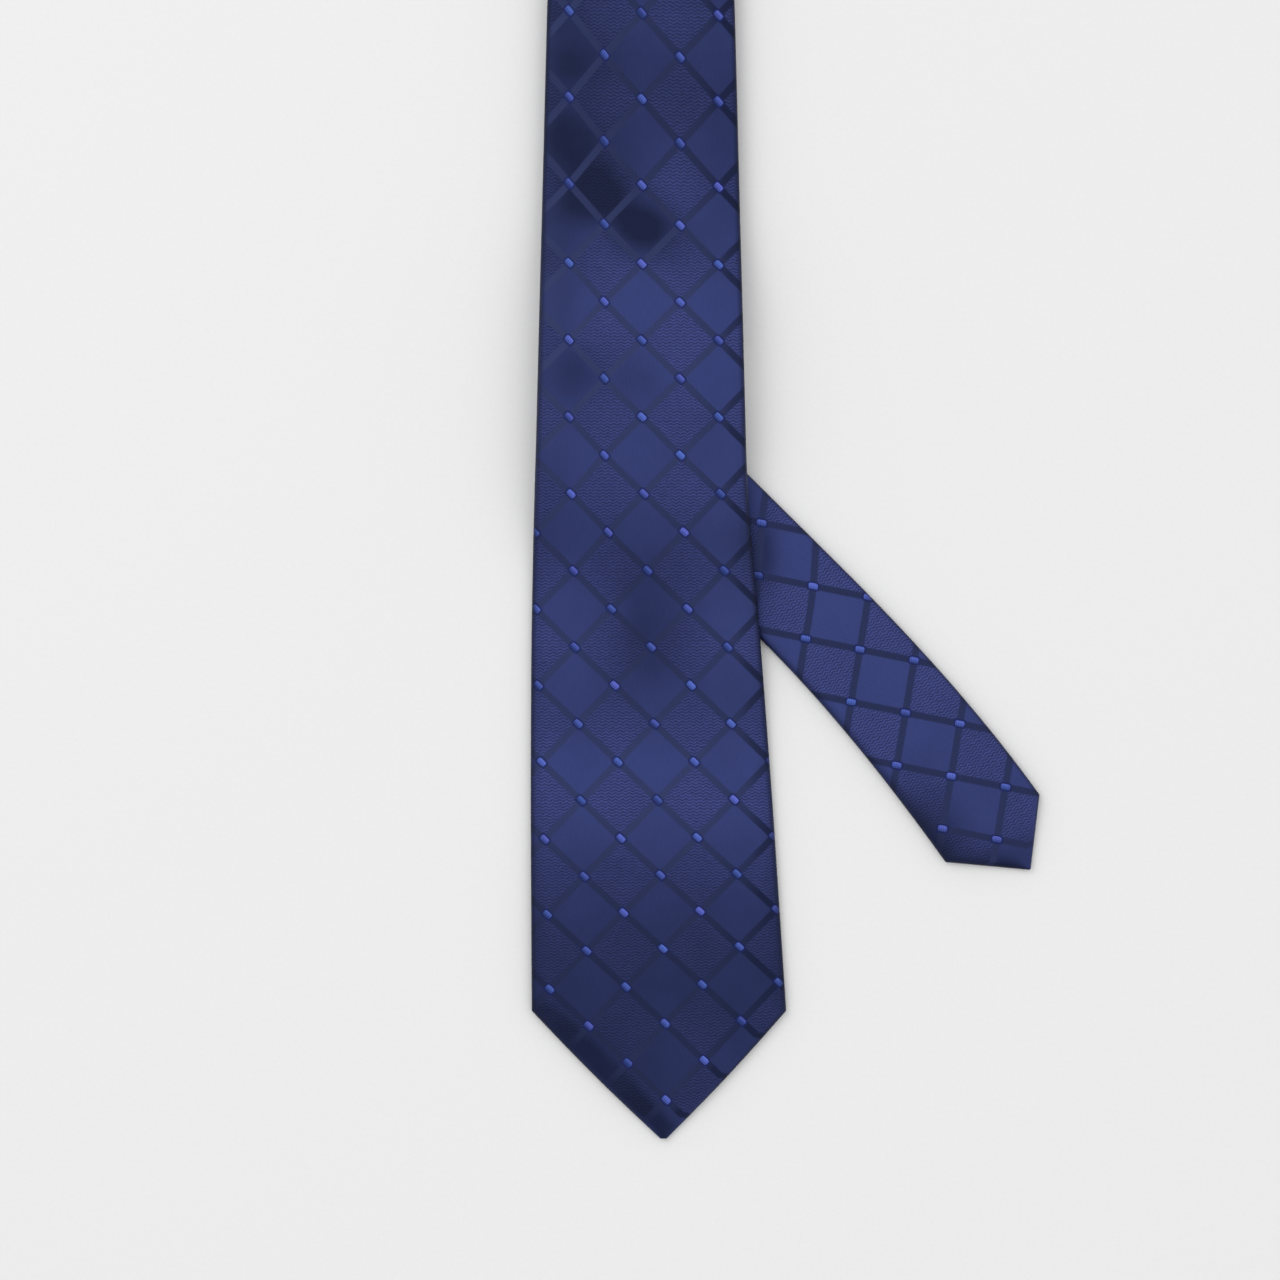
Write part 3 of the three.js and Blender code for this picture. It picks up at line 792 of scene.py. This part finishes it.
front_stations = spread(0.35, (3, 0.45), (14, 1.0), (16, 0.5), (38, 1.6), (SHOULDER - 0.4, 0.5),
                        (SHOULDER + 0.6, 0.25), (46, 1.0), (86, 2.0), (98, 0.8), (300, 2.4), (560, 4.0),
                        (FRONT_SEAM - 3, 2.5), (FRONT_SEAM, 0.5))
front = lay(
    "front_blade", front_stations, front_cloth, blade_opening, seam=FRONT_SEAM,
    seam_from=FRONT_SEAM - 120, thick_of=tip_thick, **IN_FRONT)
gusset_stations = spread(FRONT_SEAM, (FRONT_SEAM + 3, 0.5), (FRONT_SEAM + 60, 2.5), (FOLD_Y, 4.0))
gusset_top = lay(
    "gusset_front_side", gusset_stations, gusset_cloth, closed_opening, seam=FRONT_SEAM,
    seam_from=FRONT_SEAM + 120, **IN_FRONT)
back_stations = spread(FOLD_Y, (BACK_SEAM + 60, 4.0), (BACK_SEAM + 3, 2.5), (BACK_SEAM, 0.5))
gusset_low = lay(
    "gusset_back_side", back_stations,
    lambda x, y: gusset_cloth(x, 2 * FOLD_Y - y + pi * (LAY + LAY_GAP / 2)), closed_opening,
    seam=BACK_SEAM, seam_from=BACK_SEAM + 110, **IN_STRIP)
strip_stations = spread(BACK_SEAM, (BACK_SEAM - 3, 0.5), (BACK_SEAM - 60, 2.5), (360, 4.0),
                        (CREASE_Y, 2.4))
strip = lay(
    "tail_upper", strip_stations, strip_cloth, closed_opening, seam=BACK_SEAM,
    seam_from=BACK_SEAM - 110, **IN_STRIP)
end_stations = spread(0.35, (3, 0.45), (TAIL_POINT - 0.4, 0.8), (TAIL_POINT + 0.6, 0.25), (40, 1.6),
                      (52, 0.8), (TAIL_LENGTH - 20, 2.4), (TAIL_LENGTH, 2.0))
tail = lay(
    "tail_end", end_stations, tail_cloth, end_opening, outer=-1, thick_of=tip_thick, **IN_END)

# each panel of the shell
shell_piece(front, "front_half", "front_blade_shell",
            face_sheen_painted=True)
shell_piece(gusset_top, "front_half", "gusset_front")
shell_piece(gusset_low, "tail_half", "gusset_back")
shell_piece(strip, "tail_half", "tail_shell_upper")

# painted shade darkens the tail along its left edge and over its tip, and a painted shadow lies on it
# beside the blade that lies across it
tail_x, tail_y = tail["points"][:, :, 0], tail["points"][:, :, 1]
from_tip = np.hypot(tail_x - tail_x[0, 0], tail_y - tail_y[0, 0])
tail_shade = 0.95 - 0.6 * smooth(from_tip, 58, 26) * smooth(tail["side"], 0.1, -0.9)
tail_shade = tail_shade - 0.12 * smooth(from_tip, 62, 48) - 0.35 * smooth(from_tip, 20, 3)
tail_shade = tail_shade - 0.7 * hump(tail_x, 31, 5) * hump(tail_y, 184, 14)
tail_edge_shade = 0.9 * smooth(-tail["side"], 0.84 - 0.2 * smooth(from_tip, 60, 35), 1.0)
shell_piece(tail, "tail_end", "tail_shell_end", shade=tail_shade, side_shade=tail_edge_shade)

neck_roll = folded_section(
    "gusset_neck_roll", gusset_top, (NECK_X, FOLD_Y), (0, 1), lambda height: LAY_GAP / 2 + height,
    np.array([0, LAY + LAY_GAP / 2, 0]))
neck_piece = shell_piece(neck_roll, None, "gusset_fold")
blend_at_fold(neck_piece, "front_half", "tail_half", 1)

crease_roll = folded_section(
    "tail_crease_roll", strip, (NECK_X, CREASE_Y), -SIDE, lambda height: LAY_GAP / 2 + LAY - height,
    np.zeros(3))
crease_piece = shell_piece(crease_roll, None, "tail_crease_fold")
blend_at_fold(crease_piece, "tail_half", "tail_end", 1)

# ---------------- interlining and tipping

BACK_ROOM = 1.15  # from the back of a lay to the tipping
TIPPING = 0.3
WOOL_LOW, WOOL_HIGH = 1.55, 2.7
WOOL_MIDDLE = (WOOL_LOW + WOOL_HIGH) / 2
WOOL_THICK = WOOL_HIGH - WOOL_LOW
INSET = 2.3  # the inner pieces keep this far in from the edges



def flat_layer(name, stations, middle, material, plan, half_of, base, face_up=True, point=0.0,
               fold_skew=None):
    """A sheet inside a lay, at a height above the lay's back."""
    steps = np.linspace(-1, 1, 25)
    s = stations[:, None] * np.ones(len(steps))
    slope = 0 * s if fold_skew is None else fold_skew(s)
    along = s.copy()
    for _ in range(4):
        inset = INSET * np.where(along < point, sqrt(2), 1)
        across = np.maximum(half_of(along) - inset, 0.1) * steps
        along = s + slope * across
    x, y = plan(along, across)
    height = middle * (1 - 0.1 * np.abs(steps) ** 3)
    z = base(x, y) + (height if face_up else LAY - height)
    points = triples(x, y, z)
    widths = across[:, -1] - across[:, 0]
    area = abs(np.sum((widths[1:] + widths[:-1]) / 2 * np.diff(s[:, 0])))
    piece = mesh_piece(name, points, grid_faces(*x.shape), material)
    return piece, points, (widths.max(), abs(s[-1, 0] - s[0, 0]), area)


def inner_piece(made, thickness, body, node, slot):
    """Gives a layer its thickness, and lays it on the piece below."""
    piece, _, (width, length, area) = made
    thicken(piece, thickness, inward=False)
    place(piece, body, node, slot)
    width * MM
    length * MM
    min(area, width * length) * MM * MM


def inner_fold(name, points, arm, radius, node, bodies):
    """The interlining where a lay turns back: half a ring between the two lays' sheets."""
    start = points[-1]
    turns = np.linspace(pi / 2, -pi / 2, 11)[:, None]
    x = start[:, 0] + radius * np.cos(turns) * arm[0]
    y = start[:, 1] + radius * np.cos(turns) * arm[1]
    z = FOLD_Z + radius * np.sin(turns) + 0 * x
    piece = mesh_piece(name, triples(x, y, z), grid_faces(*x.shape), WOOL)
    thicken(piece, WOOL_THICK, inward=False)
    place(piece, None, node, "wool")
    width = float(np.linalg.norm(start[0] - start[-1]))
    blend_at_fold(piece, *bodies, 0.8)


front_wool = flat_layer("front_interlining_felt", spread(6, (38, 2), (42, 0.8), (300, 3), (FOLD_Y, 4)),
                        WOOL_MIDDLE, WOOL, **IN_FRONT)
strip_wool = flat_layer("tail_interlining_felt", spread(FOLD_Y, (340, 4), (CREASE_Y, 2.5)),
                        WOOL_MIDDLE, WOOL, **IN_STRIP)
end_wool = flat_layer("tail_end_interlining_felt", spread(6, (TAIL_POINT + 1, 1.2), (TAIL_LENGTH, 2.5)),
                      WOOL_MIDDLE, WOOL, **IN_END)
inner_piece(front_wool, WOOL_THICK, "front_half", "front_interlining", "wool")
inner_piece(strip_wool, WOOL_THICK, "tail_half", "tail_interlining_upper", "wool")
inner_piece(end_wool, WOOL_THICK, "tail_end", "tail_interlining_end", "wool")
inner_fold("neck_interlining_roll", front_wool[1], (0, 1), LAY_GAP / 2 + WOOL_MIDDLE,
           "neck_interlining_fold", ("front_half", "tail_half"))
inner_fold("crease_interlining_roll", strip_wool[1], -SIDE, LAY_GAP / 2 + LAY - WOOL_MIDDLE,
           "crease_interlining_fold", ("tail_half", "tail_end"))
front_lining = flat_layer("front_tipping_cloth", spread(4, (38, 1.5), (42, 0.8), (118, 3)),
                          BACK_ROOM, LINING, **IN_FRONT)
end_lining = flat_layer("tail_tipping_cloth", spread(4, (TAIL_POINT + 1, 1), (66, 2.5)),
                        BACK_ROOM, LINING, **IN_END)
inner_piece(front_lining, TIPPING, "front_half", "front_tipping", "lining")
inner_piece(end_lining, TIPPING, "tail_end", "tail_tipping", "lining")

# ---------------- threads

STITCH = 0.11  # radius of the sewing thread
SPARE_THREAD = 0.17


def gone_along(line):
    """How far each point of a line is from its start, along the line."""
    return np.concatenate([[0], np.cumsum(np.linalg.norm(np.diff(line, axis=0), axis=1))])


def threads(name, lines, body, node, radius=STITCH, sides=6):
    """Tubes along the given lines, all in one piece."""
    points, faces, strands = [], [], []
    for line in lines:
        line = np.asarray(line, float)
        ways = np.gradient(line, axis=0)
        ways /= np.maximum(np.linalg.norm(ways, axis=1), 1e-9)[:, None]
        up = np.array([0.1, 0.2, 1.0])
        first = np.cross(ways, up)
        first /= np.linalg.norm(first, axis=1)[:, None]
        second = np.cross(ways, first)
        base_index = len(points)
        for spot, right, left, far in zip(line, first, second, gone_along(line)):
            for k in range(sides):
                turn = TAU * k / sides
                points.append(spot + radius * (cos(turn) * right + sin(turn) * left))
                strands.append((far, turn, 0))
        for i in range(len(line) - 1):
            for k in range(sides):
                a, b = base_index + i * sides + k, base_index + i * sides + (k + 1) % sides
                faces.append((a, b, b + sides, a + sides))
        faces.append(tuple(base_index + k for k in reversed(range(sides))))
        faces.append(tuple(base_index + (len(line) - 1) * sides + k for k in range(sides)))
    piece = mesh_piece(name, points, faces, THREAD, strand=np.array(strands))
    place(piece, body, node, "thread")


def zigzag(start, end, half, turns, lift):
    """A tight satin stitch between two points, swinging to both sides, with rounded tops."""
    start, end = np.asarray(start, float), np.asarray(end, float)
    way = (end - start) / np.linalg.norm(end - start)
    aside = np.array([-way[1], way[0], 0])
    t = np.linspace(0, 1, turns * 8 + 1)[:, None]
    swing = 2 / pi * np.arcsin(np.sin(TAU * turns * t)) * half
    raised = np.array([0, 0, lift]) * np.cos(TAU * turns * t) ** 2
    return start + (end - start) * t + aside * swing + raised


def slip_stitches(plan, base, places, level, face_up=True, outer=1):
    """Short stitches over the lapped edge of the back seam."""
    lines = []
    for along in places:
        t = np.linspace(0, 1, 7)
        x, y = plan(along + 1.9 * (t - 0.5), outer * (0.55 - 1.25 * t))
        sag = level + 0.1 * np.sin(pi * t)
        z = base(x, y) + (0.22 - sag if face_up else LAY - 0.22 + sag)
        lines.append(triples(x, y, z))
    return lines


def tack(plan, base, along, half, wide):
    """A bar tack: strands laid side by side across the seam."""
    t = np.linspace(0, 1, 61)
    aside = half * 2 / pi * np.arcsin(np.sin(TAU * 3 * t))
    x, y = plan(along + wide * (t - 0.5), aside)
    return triples(x, y, base(x, y) + STITCH + 0.02 + 0.05 * np.cos(TAU * 6 * t))


def spare_loop(plan, base, along, long, half, height):
    """The slack end of the seam thread, left in a loop in the mouth of the V."""
    t = np.linspace(0, 1, 49)
    reach = long * np.sin(pi * t) ** 0.8
    aside = half * np.sin(TAU * t) * (0.75 + 0.25 * np.cos(pi * t))
    x, y = plan(along - reach, aside)
    return triples(x, y, base(x, y) + height + 0 * t)


front_stitches = slip_stitches(blade_place, front_base, np.arange(104, FOLD_Y - 6, 13), 0.08)
threads("front_slip_stitches", front_stitches, "front_half", "front_slip_stitch")
strip_stitches = slip_stitches(strip_place, tail_base, np.arange(250, FOLD_Y - 6, 13), 0.08, face_up=False)
threads("tail_slip_stitches", strip_stitches, "tail_half", "tail_slip_stitch_upper")
end_stitches = slip_stitches(tail_place, end_base, np.arange(60, TAIL_LENGTH - 8, 11), 0.0, outer=-1)
threads("tail_end_slip_stitches", end_stitches, "tail_end", "tail_slip_stitch_end")
threads("front_bar_tack_threads", [tack(blade_place, front_base, FRONT_TACK, 2.3, 1.2)],
        "front_half", "front_bar_tack")
threads("tail_bar_tack_threads", [tack(tail_place, end_base, TAIL_TACK, 1.8, 1.0)],
        "tail_end", "tail_bar_tack")
threads("front_spare_loop", [spare_loop(blade_place, front_base, FRONT_TACK - 1, 18, 2.0, 0.7)],
        "front_half", "front_spare_thread", SPARE_THREAD)
threads("tail_spare_loop", [spare_loop(tail_place, end_base, TAIL_TACK - 1, 12, 1.6, 0.7)],
        "tail_end", "tail_spare_thread", SPARE_THREAD)


def back_stitches(name, node, ends, depth, half, turns, lift, radius=STITCH):
    """A satin stitch between two places on the back of the front half."""
    ends = [(x, y, float(front_base(x, y)) - depth) for x, y in ends]
    threads(name, [zigzag(*ends, half, turns, lift)], "front_half", node, radius)


def side_stitches(name, node, half, y_range, *stitch):
    """The same stitches on the left and on the right, so far from the neck's centre line."""
    low, high = y_range
    for side, x in (("left", NECK_X - half), ("right", NECK_X + half)):
        back_stitches(f"{name}_{side}", f"{node}_{side}", [(x, low + 1), (x, high - 1)], *stitch)


def seam_stitches(made, row):
    """Machine stitches down in the groove of a piecing seam, across the face."""
    face = made["points"][row][KINDS == FACE]
    inward = -1 if made["face_up"] else 1
    gone = gone_along(face)
    lines = []
    for start in np.arange(1.5, gone[-1] - 3, 2.2):
        spots = start + np.linspace(0, 1.6, 5)
        line = triples(*(np.interp(spots, gone, face[:, k]) for k in range(3)))
        line[:, 2] += inward * (CLOTH + 0.12)
        lines.append(line)
    return lines


threads("front_seam_stitches", seam_stitches(front, -1), "front_half", "front_piecing_seam")
threads("back_seam_stitches", seam_stitches(strip, 0), "tail_half", "back_piecing_seam")

# ---------------- keeper loop, label and care tag


def keeper_band():
    """A flattened tube of silk across the back, held at its ends and bowed between them."""
    around = np.linspace(0, TAU, 41)[:-1]
    wide, middle = (KEEPER_Y[1] - KEEPER_Y[0]) / 2, sum(KEEPER_Y) / 2
    sideways, rise = np.cos(around), np.sin(around)
    points, cloth = [], []
    for spot in np.linspace(-1, 1, 49):
        bow = smooth(abs(spot), 0.86, 0.6)
        x = NECK_X + KEEPER_HALF * spot + 0 * around
        y = middle + wide * (0.97 + 0.03 * bow) * np.sign(sideways) * np.abs(sideways) ** 0.3
        z = front_base(x, middle + 0 * x) - (0.55 + 0.62 * bow)
        z = z + (0.36 + 0.16 * bow) * np.sign(rise) * np.abs(rise) ** 0.8
        points.append(triples(x, y, z))
        cloth.append(triples(x, y + 13 * (rise > 0), 0 * x))
    count = len(around)
    faces = []
    for first in range(0, (len(points) - 1) * count, count):
        for k in range(count):
            a, b = first + k, first + (k + 1) % count
            faces.append((a, a + count, b + count, b))
    total = len(points) * count
    piece = mesh_piece(
        "keeper_band", np.array(points), faces, SILK, cloth=np.array(cloth).reshape(-1, 3) * MM,
        shade=np.full(total, 0.6), bands=np.full(total, PLAIN_BANDS), rolled=np.zeros(total))
    thicken(piece, 0.22)
    place(piece, "front_half", "keeper_loop", "silk")


def ribbon(name, x_range, y_range, depth, thickness, material):
    """A small flat piece on the back of the front half, with its two ends turned under."""
    columns, rows = 41, 25
    s, t = np.meshgrid(np.linspace(0, 1, columns), np.linspace(0, 1, rows))
    x = x_range[0] + (x_range[1] - x_range[0]) * s
    y = y_range[0] + (y_range[1] - y_range[0]) * t
    from_end = np.minimum(s, 1 - s) * (x_range[1] - x_range[0])
    z = front_base(x, y) - depth + 0.04 * np.sin(3 * pi * s) * np.sin(pi * t)
    z = z + 0.12 * np.exp(-((from_end / 0.5) ** 2))
    spot = triples(s, t, 0 * s).reshape(-1, 3)
    points = triples(x, y, z)
    piece = mesh_piece(name, points, grid_faces(rows, columns, True), material, spot=spot)
    return thicken(piece, thickness, inward=False)


def label_cloth(name, ground, light, border):
    """Damask ribbon with a plain woven border and nothing on it."""
    n = Nodes(name)
    spot = n.stored("spot", "Vector")
    across, along, _ = n.split(spot)
    ends = n.math("MINIMUM", across, 1.0 - across)
    sides = n.math("MINIMUM", along, 1.0 - along)
    near = n.math("MINIMUM", ends * 1.4, sides)
    line = n.step(near, 0.09, 0.10) * n.step(near, 0.12, 0.13, 1.0, 0.0)
    weave = n.wave(along, 1 / 52) * n.wave(across, 1 / 70)
    grain = n.noise(spot, 60.0)
    colour = n.mix(weave * 0.5 + grain * 0.9, ground, light)
    return n.surface(
        Base_Color=n.mix(line * 0.8, colour, border), Roughness=grain * 0.15 + 0.42,
        Normal=n.bump(weave + line * 1.5, 0.04, 0.7), Specular_IOR_Level=0.25)


def label():
    """The blank label and the stitches along its two ends."""
    cloth = label_cloth("label_damask", rgb(12, 16, 40), rgb(38, 44, 82), rgb(150, 154, 176))
    piece = ribbon("maker_label_ribbon", (NECK_X - LABEL_HALF, NECK_X + LABEL_HALF), LABEL_Y, 0.42, 0.3,
                   cloth)
    place(piece, "front_half", "maker_label", "label")
    side_stitches("label_threads", "label_stitch", LABEL_HALF - 1.2, LABEL_Y, 0.62, 0.55, 11, 0.1, 0.1)


def care_tag():
    """A folded loop of white tape that hangs from the stitch along its top edge."""
    low, high = (np.array(corner) / MM - np.array(TIP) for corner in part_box("care_tag"))
    columns, rows = 13, 41
    long = high[1] - low[1]
    gone = np.linspace(0, 2 * long, rows)
    middle, apart = (low[2] + high[2]) / 2, (high[2] - low[2]) / 2 - 0.09
    y = np.where(gone < long, high[1] - gone, high[1] - 2 * long + gone)
    from_fold = np.abs(gone - long)
    z = middle + np.sign(gone - long) * np.minimum(from_fold / 0.8, 1) ** 0.5 * apart
    s = np.linspace(0, 1, columns)
    x = low[0] + (high[0] - low[0]) * s
    grid_x, grid_y = np.meshgrid(x, y)
    grid_z = z[:, None] + 0.03 * np.sin(pi * s)[None, :] * np.sin(pi * gone / long)[:, None]
    spot = triples(*np.meshgrid(s, gone / (2 * long)), 0 * grid_x).reshape(-1, 3)
    tape = label_cloth("care_tape", rgb(214, 212, 206), rgb(236, 234, 229), rgb(222, 220, 214))
    points = triples(grid_x, grid_y, grid_z)
    piece = mesh_piece("care_tag_tape", points, grid_faces(rows, columns), tape, spot=spot)
    thicken(piece, 0.14, inward=False)
    place(piece, "care_tag", "care_tag", "care")
    seam = high[1] + 0.9
    back_stitches("care_tag_threads", "care_tag_stitch", [(low[0] + 1, seam), (high[0] - 1, seam)], 0.14,
                  0.45, 9, 0.06)


keeper_band()
side_stitches("keeper_tack_threads", "keeper_tack", KEEPER_HALF - 1.5, KEEPER_Y, 1.0, 0.6, 22, 0.08)
label()
care_tag()

# ---------------- stage

CAMERA_LENS = 200.0
VIEW_WIDTH = 401.9  # of the table that the camera sees
FLOOR_GAP = 0.2  # of the floor below the cloth, so that they never share a place
VIEW_MIDDLE = (-7.4, 157.0)  # from the wide tip
WORLD_LIGHT = 0.80
LAMPS = [("key", (-0.9, 0.8, 1.6), 1.4, 9.0), ("fill", (1.1, -0.3, 1.5), 1.6, 3.0)]  # place, size, power


def stage():
    """A pale floor, soft studio light, and the camera straight above the tie."""
    floor = bpy.data.meshes.new("floor")
    reach = 6.0
    corners = [(-reach, -reach, 0), (reach, -reach, 0), (reach, reach, 0), (-reach, reach, 0)]
    floor.from_pydata(corners, [], [(0, 1, 2, 3)])
    ground = added("floor", floor)
    ground.location.z = -FLOOR_GAP * MM
    n = Nodes("pale_paper")
    grain = n.noise(n.add("ShaderNodeTexCoord", {}, "Object"), 900.0)
    tint = n.mix(grain, (0.82, 0.82, 0.82, 1), (0.86, 0.86, 0.86, 1))
    floor.materials.append(n.surface(Base_Color=tint, Roughness=0.9, Specular_IOR_Level=0.1))

    world = bpy.data.worlds.new("studio")
    bpy.context.scene.world = world
    world.use_nodes = True
    background = world.node_tree.nodes["Background"]
    background.inputs[0].default_value = WHITE
    background.inputs[1].default_value = WORLD_LIGHT

    middle = (TIP + Vector((*VIEW_MIDDLE, 0))) * MM
    for name, offset, size, power in LAMPS:
        light = bpy.data.lights.new(name, "AREA")
        light.size = size
        light.energy = power
        lamp = added(name, light)
        lamp.location = middle + Vector(offset)
        lamp.rotation_euler = (-Vector(offset)).to_track_quat("-Z", "Y").to_euler()

    camera = bpy.data.cameras.new("camera")
    camera.lens = CAMERA_LENS
    camera.sensor_width = 36.0
    eye = added("camera", camera)
    distance = VIEW_WIDTH * MM * camera.lens / camera.sensor_width
    eye.location = middle + Vector((0, 0, distance + LAY * MM))
    bpy.context.scene.camera = eye
    bpy.context.scene.view_settings.view_transform = "Standard"


stage()
